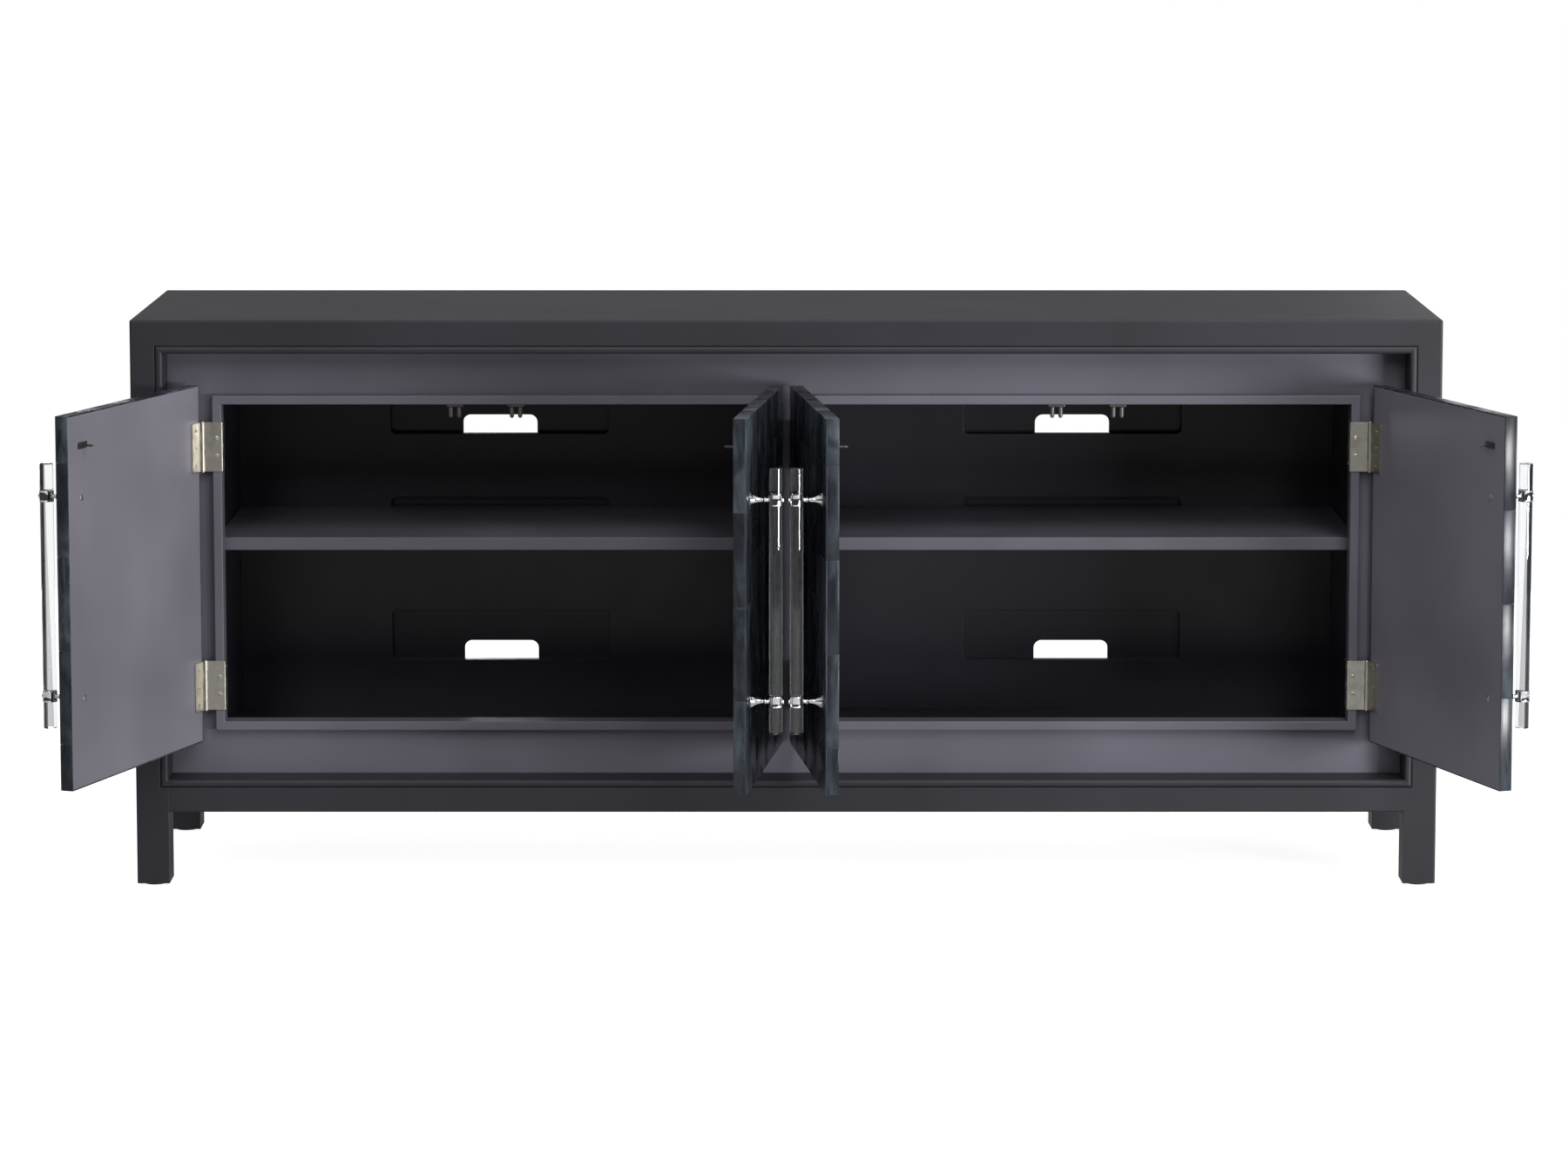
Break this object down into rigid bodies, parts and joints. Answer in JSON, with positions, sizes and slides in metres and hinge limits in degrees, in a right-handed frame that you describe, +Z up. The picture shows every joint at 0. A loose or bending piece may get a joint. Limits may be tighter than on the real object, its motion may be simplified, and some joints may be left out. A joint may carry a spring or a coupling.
{
  "type": "media cabinet",
  "caption": "Low media cabinet on square legs: framed recess, paired tiled overlay doors, bar handles, shelved bays with vented backs.",
  "frame": {"origin": "bottom centre of the whole cabinet's box with its doors as they stand open, on the floor", "axes": "+X to the right as seen from the front, +Y to the back, +Z up"},
  "size_m": [2.1096, 0.8336, 0.842],
  "materials": {
    "case_lacquer": "dark grey violet satin lacquer on wood",
    "recess_lacquer": "mid grey satin lacquer on wood",
    "bay_lacquer": "near black gloss lacquer on wood",
    "door_lacquer": "grey gloss lacquer on wood",
    "horn_tile": "polished dark horn-look tile, blue grey",
    "clear_acrylic": "clear, polished",
    "polished_chrome": "polished",
    "satin_nickel": "satin nickel plate",
    "black_plastic": "fine satin",
    "dark_nylon": "smooth",
    "raw_wood": "planed, unfinished",
    "glide": "nylon"
  },
  "bodies": {
    "case": {"top_panel": "case_lacquer", "front_legs": "case_lacquer", "back_legs": "case_lacquer", "leg_glides": "glide", "front_rail": "case_lacquer", "back_rail": "case_lacquer", "side_rails": "case_lacquer", "side_panels": "case_lacquer", "bead_moulding": "case_lacquer", "recess_face": "recess_lacquer", "bay_rims": "recess_lacquer", "bay_sides": "bay_lacquer", "bay_floors": "bay_lacquer", "bay_ceilings": "bay_lacquer", "left_inner_back": "bay_lacquer", "right_inner_back": "bay_lacquer", "outer_back": "bay_lacquer", "shelves": "recess_lacquer", "shelf_pins": "satin_nickel", "floor_bearers": "raw_wood", "hinge_frame_leaves": "satin_nickel", "hinge_pins": "satin_nickel", "hinge_frame_screws": "satin_nickel", "catch_bodies": "black_plastic"},
    "left_outer_door": {"left_outer_door_core": "door_lacquer", "left_outer_door_tiles": "horn_tile", "left_outer_hinge_leaves": "satin_nickel", "left_outer_door_screws": "satin_nickel", "left_outer_handle_rod": "clear_acrylic", "left_outer_handle_posts": "polished_chrome", "left_outer_strike": "black_plastic"},
    "left_inner_door": {"left_inner_door_core": "door_lacquer", "left_inner_door_tiles": "horn_tile", "left_inner_hinge_leaves": "satin_nickel", "left_inner_door_screws": "satin_nickel", "left_inner_handle_rod": "clear_acrylic", "left_inner_handle_posts": "polished_chrome", "left_inner_strike": "black_plastic"},
    "right_inner_door": {"right_inner_door_core": "door_lacquer", "right_inner_door_tiles": "horn_tile", "right_inner_hinge_leaves": "satin_nickel", "right_inner_door_screws": "satin_nickel", "right_inner_handle_rod": "clear_acrylic", "right_inner_handle_posts": "polished_chrome", "right_inner_strike": "black_plastic"},
    "right_outer_door": {"right_outer_door_core": "door_lacquer", "right_outer_door_tiles": "horn_tile", "right_outer_hinge_leaves": "satin_nickel", "right_outer_door_screws": "satin_nickel", "right_outer_handle_rod": "clear_acrylic", "right_outer_handle_posts": "polished_chrome", "right_outer_strike": "black_plastic"},
    "left_outer_roller_a": {"left_outer_roller_a": "dark_nylon"},
    "left_outer_roller_b": {"left_outer_roller_b": "dark_nylon"},
    "left_inner_roller_a": {"left_inner_roller_a": "dark_nylon"},
    "left_inner_roller_b": {"left_inner_roller_b": "dark_nylon"},
    "right_inner_roller_a": {"right_inner_roller_a": "dark_nylon"},
    "right_inner_roller_b": {"right_inner_roller_b": "dark_nylon"},
    "right_outer_roller_a": {"right_outer_roller_a": "dark_nylon"},
    "right_outer_roller_b": {"right_outer_roller_b": "dark_nylon"}
  },
  "joints": [
    {"name": "left_outer_door_hinge", "type": "hinge", "parent": "case", "child": "left_outer_door", "pos_m": [-0.8595, -0.00221, 0.476], "axis": [0, 0, 1], "range_deg": [-8, 110]},
    {"name": "left_inner_door_hinge", "type": "hinge", "parent": "case", "child": "left_inner_door", "pos_m": [-0.0265, -0.00221, 0.476], "axis": [0, 0, 1], "range_deg": [-83, 0]},
    {"name": "right_inner_door_hinge", "type": "hinge", "parent": "case", "child": "right_inner_door", "pos_m": [0.0265, -0.00221, 0.476], "axis": [0, 0, 1], "range_deg": [0, 83]},
    {"name": "right_outer_door_hinge", "type": "hinge", "parent": "case", "child": "right_outer_door", "pos_m": [0.8595, -0.00221, 0.476], "axis": [0, 0, 1], "range_deg": [-110, 8]},
    {"name": "left_outer_roller_a_spin", "type": "hinge", "parent": "case", "child": "left_outer_roller_a", "pos_m": [-0.4941, 0.00629, 0.7012], "axis": [0, 0, 1], "continuous": true},
    {"name": "left_outer_roller_b_spin", "type": "hinge", "parent": "case", "child": "left_outer_roller_b", "pos_m": [-0.4819, 0.00629, 0.7012], "axis": [0, 0, 1], "continuous": true},
    {"name": "left_inner_roller_a_spin", "type": "hinge", "parent": "case", "child": "left_inner_roller_a", "pos_m": [-0.4041, 0.00629, 0.7012], "axis": [0, 0, 1], "continuous": true},
    {"name": "left_inner_roller_b_spin", "type": "hinge", "parent": "case", "child": "left_inner_roller_b", "pos_m": [-0.3919, 0.00629, 0.7012], "axis": [0, 0, 1], "continuous": true},
    {"name": "right_inner_roller_a_spin", "type": "hinge", "parent": "case", "child": "right_inner_roller_a", "pos_m": [0.3919, 0.00629, 0.7012], "axis": [0, 0, 1], "continuous": true},
    {"name": "right_inner_roller_b_spin", "type": "hinge", "parent": "case", "child": "right_inner_roller_b", "pos_m": [0.4041, 0.00629, 0.7012], "axis": [0, 0, 1], "continuous": true},
    {"name": "right_outer_roller_a_spin", "type": "hinge", "parent": "case", "child": "right_outer_roller_a", "pos_m": [0.4819, 0.00629, 0.7012], "axis": [0, 0, 1], "continuous": true},
    {"name": "right_outer_roller_b_spin", "type": "hinge", "parent": "case", "child": "right_outer_roller_b", "pos_m": [0.4941, 0.00629, 0.7012], "axis": [0, 0, 1], "continuous": true}
  ]
}
